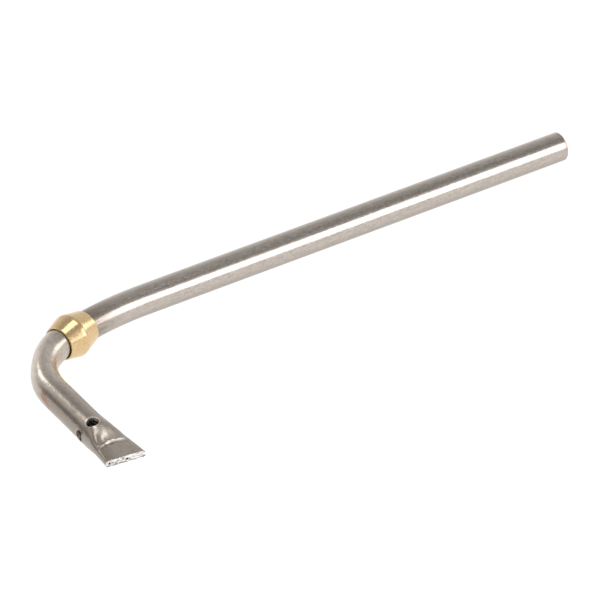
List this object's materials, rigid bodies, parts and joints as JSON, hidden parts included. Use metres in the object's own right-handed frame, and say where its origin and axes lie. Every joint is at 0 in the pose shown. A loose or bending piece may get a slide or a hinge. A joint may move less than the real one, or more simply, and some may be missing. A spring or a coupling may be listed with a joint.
{
  "type": "gas pilot tube",
  "caption": "Bent gas pilot tube with drilled ports, a crushed flat tip and a loose brass compression sleeve.",
  "frame": {"origin": "centre of the open inlet end of the tube", "axes": "+X out of the inlet along the long leg, short leg towards -Y, +Z normal to the plane of the bends"},
  "size_m": [0.142, 0.048, 0.0093],
  "materials": {
    "tube_steel": "drawn and handled, satin with a fine lengthwise grain",
    "sleeve_brass": "turned and polished"
  },
  "bodies": {
    "tube": {"pilot_tube": "tube_steel"},
    "sleeve": {"compression_sleeve": "sleeve_brass"}
  },
  "joints": [
    {"name": "sleeve_travel", "type": "hinge", "parent": "tube", "child": "sleeve", "pos_m": [-0.1049, -0.0676, 0], "axis": [0, 0, -1], "range_deg": [0, 16.2]}
  ]
}
